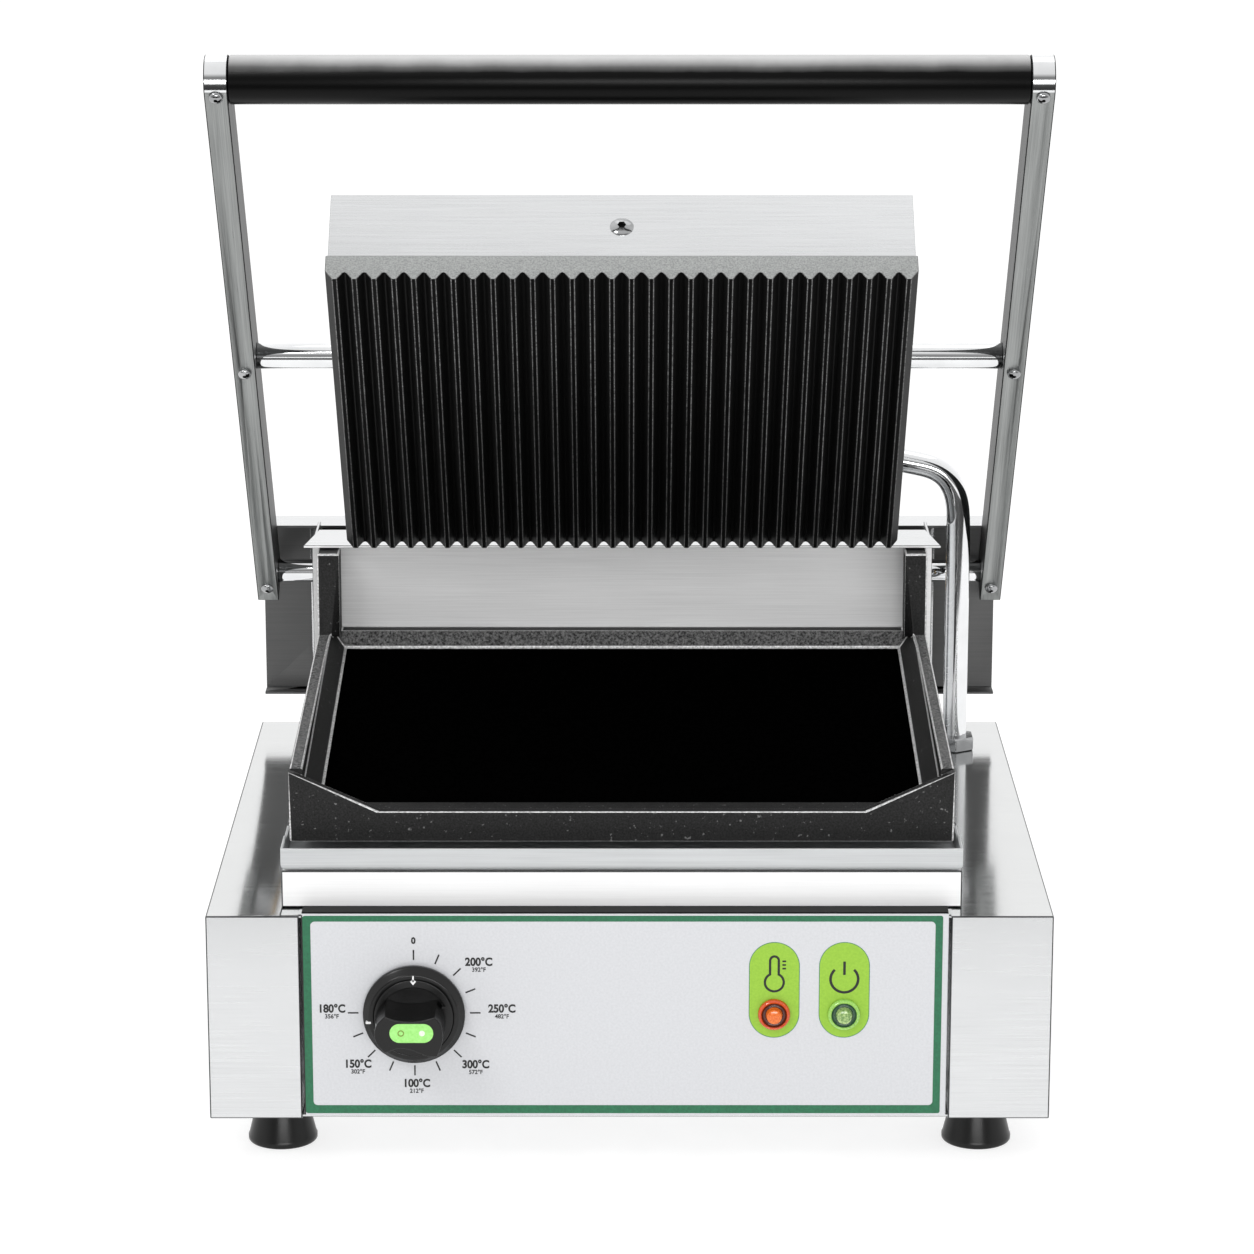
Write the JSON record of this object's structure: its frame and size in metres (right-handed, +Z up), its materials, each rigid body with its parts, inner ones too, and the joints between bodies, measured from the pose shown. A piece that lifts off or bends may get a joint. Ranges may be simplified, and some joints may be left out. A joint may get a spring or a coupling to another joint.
{
  "type": "panini press",
  "caption": "Electric contact grill: a stainless base with a sunken smooth lower plate and a ribbed upper plate that swings on lift arms with a bar handle.",
  "frame": {"origin": "centre of the object's outline on the surface it stands on", "axes": "+X to the right seen from the front, +Y to the back, +Z up"},
  "size_m": [0.43, 0.4024, 0.5593],
  "materials": {
    "brushed_steel": "brushed stainless sheet",
    "polished_steel": "polished stainless",
    "cast_iron": "seasoned black cast iron",
    "dark_sheet": "dark grey satin",
    "black_plastic": "moulded black thermoset",
    "black_rubber": "moulded black rubber",
    "panel_film": "printed light grey film",
    "lime_plastic": "light green insert",
    "orange_lens": "clear orange lens",
    "green_lens": "clear green lens",
    "brass": "turned",
    "mineral_board": "pressed mineral board",
    "spring_steel": "drawn wire"
  },
  "bodies": {
    "root": {"axle_bush_left": "brass", "axle_bush_right": "brass", "base_floor": "brushed_steel", "base_shell": "brushed_steel", "cable_gland": "black_plastic", "conduit_base_nut": "polished_steel", "control_panel": "panel_film", "counterbalance_spring_left": "spring_steel", "counterbalance_spring_right": "spring_steel", "foot_back_left": "black_rubber", "foot_back_right": "black_rubber", "foot_front_left": "black_rubber", "foot_front_right": "black_rubber", "heating_lamp_holder": "black_plastic", "heating_lamp_lens": "orange_lens", "lower_heater": "dark_sheet", "lower_insulation": "mineral_board", "lower_plate": "cast_iron", "plinth": "brushed_steel", "power_lamp_holder": "black_plastic", "power_lamp_lens": "green_lens", "rear_cover": "dark_sheet", "rear_cover_bolt_left": "polished_steel", "rear_cover_bolt_right": "polished_steel", "rear_upright": "brushed_steel", "spring_anchor_left": "brushed_steel", "spring_anchor_right": "brushed_steel", "terminal_block": "mineral_board", "thermostat_body": "black_plastic", "wire_conduit": "polished_steel"},
    "arms": {"lift_arm_left": "brushed_steel", "lift_arm_right": "brushed_steel", "lower_axle": "polished_steel", "swivel_rod": "polished_steel", "handle_rod": "polished_steel", "handle_grip": "black_plastic", "spring_lever_left": "brushed_steel", "spring_lever_right": "brushed_steel", "axle_set_screw_left": "polished_steel", "axle_set_screw_right": "polished_steel", "rod_set_screw_left": "polished_steel", "rod_set_screw_right": "polished_steel", "handle_set_screw_left": "polished_steel", "handle_set_screw_right": "polished_steel"},
    "head": {"upper_housing": "brushed_steel", "upper_plate": "cast_iron", "upper_heater": "dark_sheet", "upper_insulation": "mineral_board", "head_bracket_left": "brushed_steel", "head_bracket_right": "brushed_steel", "swivel_bush_left": "brass", "swivel_bush_right": "brass", "housing_screw": "polished_steel", "conduit_head_nut": "polished_steel"},
    "knob": {"control_knob": "black_plastic", "knob_insert": "lime_plastic", "thermostat_shaft": "brass"},
    "tray": {"drip_tray": "brushed_steel"}
  },
  "joints": [
    {"name": "lid_hinge", "type": "hinge", "parent": "root", "child": "arms", "pos_m": [0, 0.16545, 0.2322], "axis": [1, 0, 0], "range_deg": [0, 48.2], "deforming": ["counterbalance_spring_left", "counterbalance_spring_right", "wire_conduit"]},
    {"name": "head_swivel", "type": "hinge", "parent": "arms", "child": "head", "pos_m": [0, 0.05109, 0.38016], "axis": [1, 0, 0], "range_deg": [0, 9.66]},
    {"name": "knob_turn", "type": "hinge", "parent": "root", "child": "knob", "pos_m": [-0.1097, -0.18085, 0.0832], "axis": [0, 1, 0], "range_deg": [0, 270]},
    {"name": "tray_pull", "type": "slide", "parent": "root", "child": "tray", "axis": [0, -1, 0], "range_m": [0, 0.045]}
  ],
  "couplings": [
    {"joint": "head_swivel", "follows": "lid_hinge", "ratio": 0.2004}
  ]
}
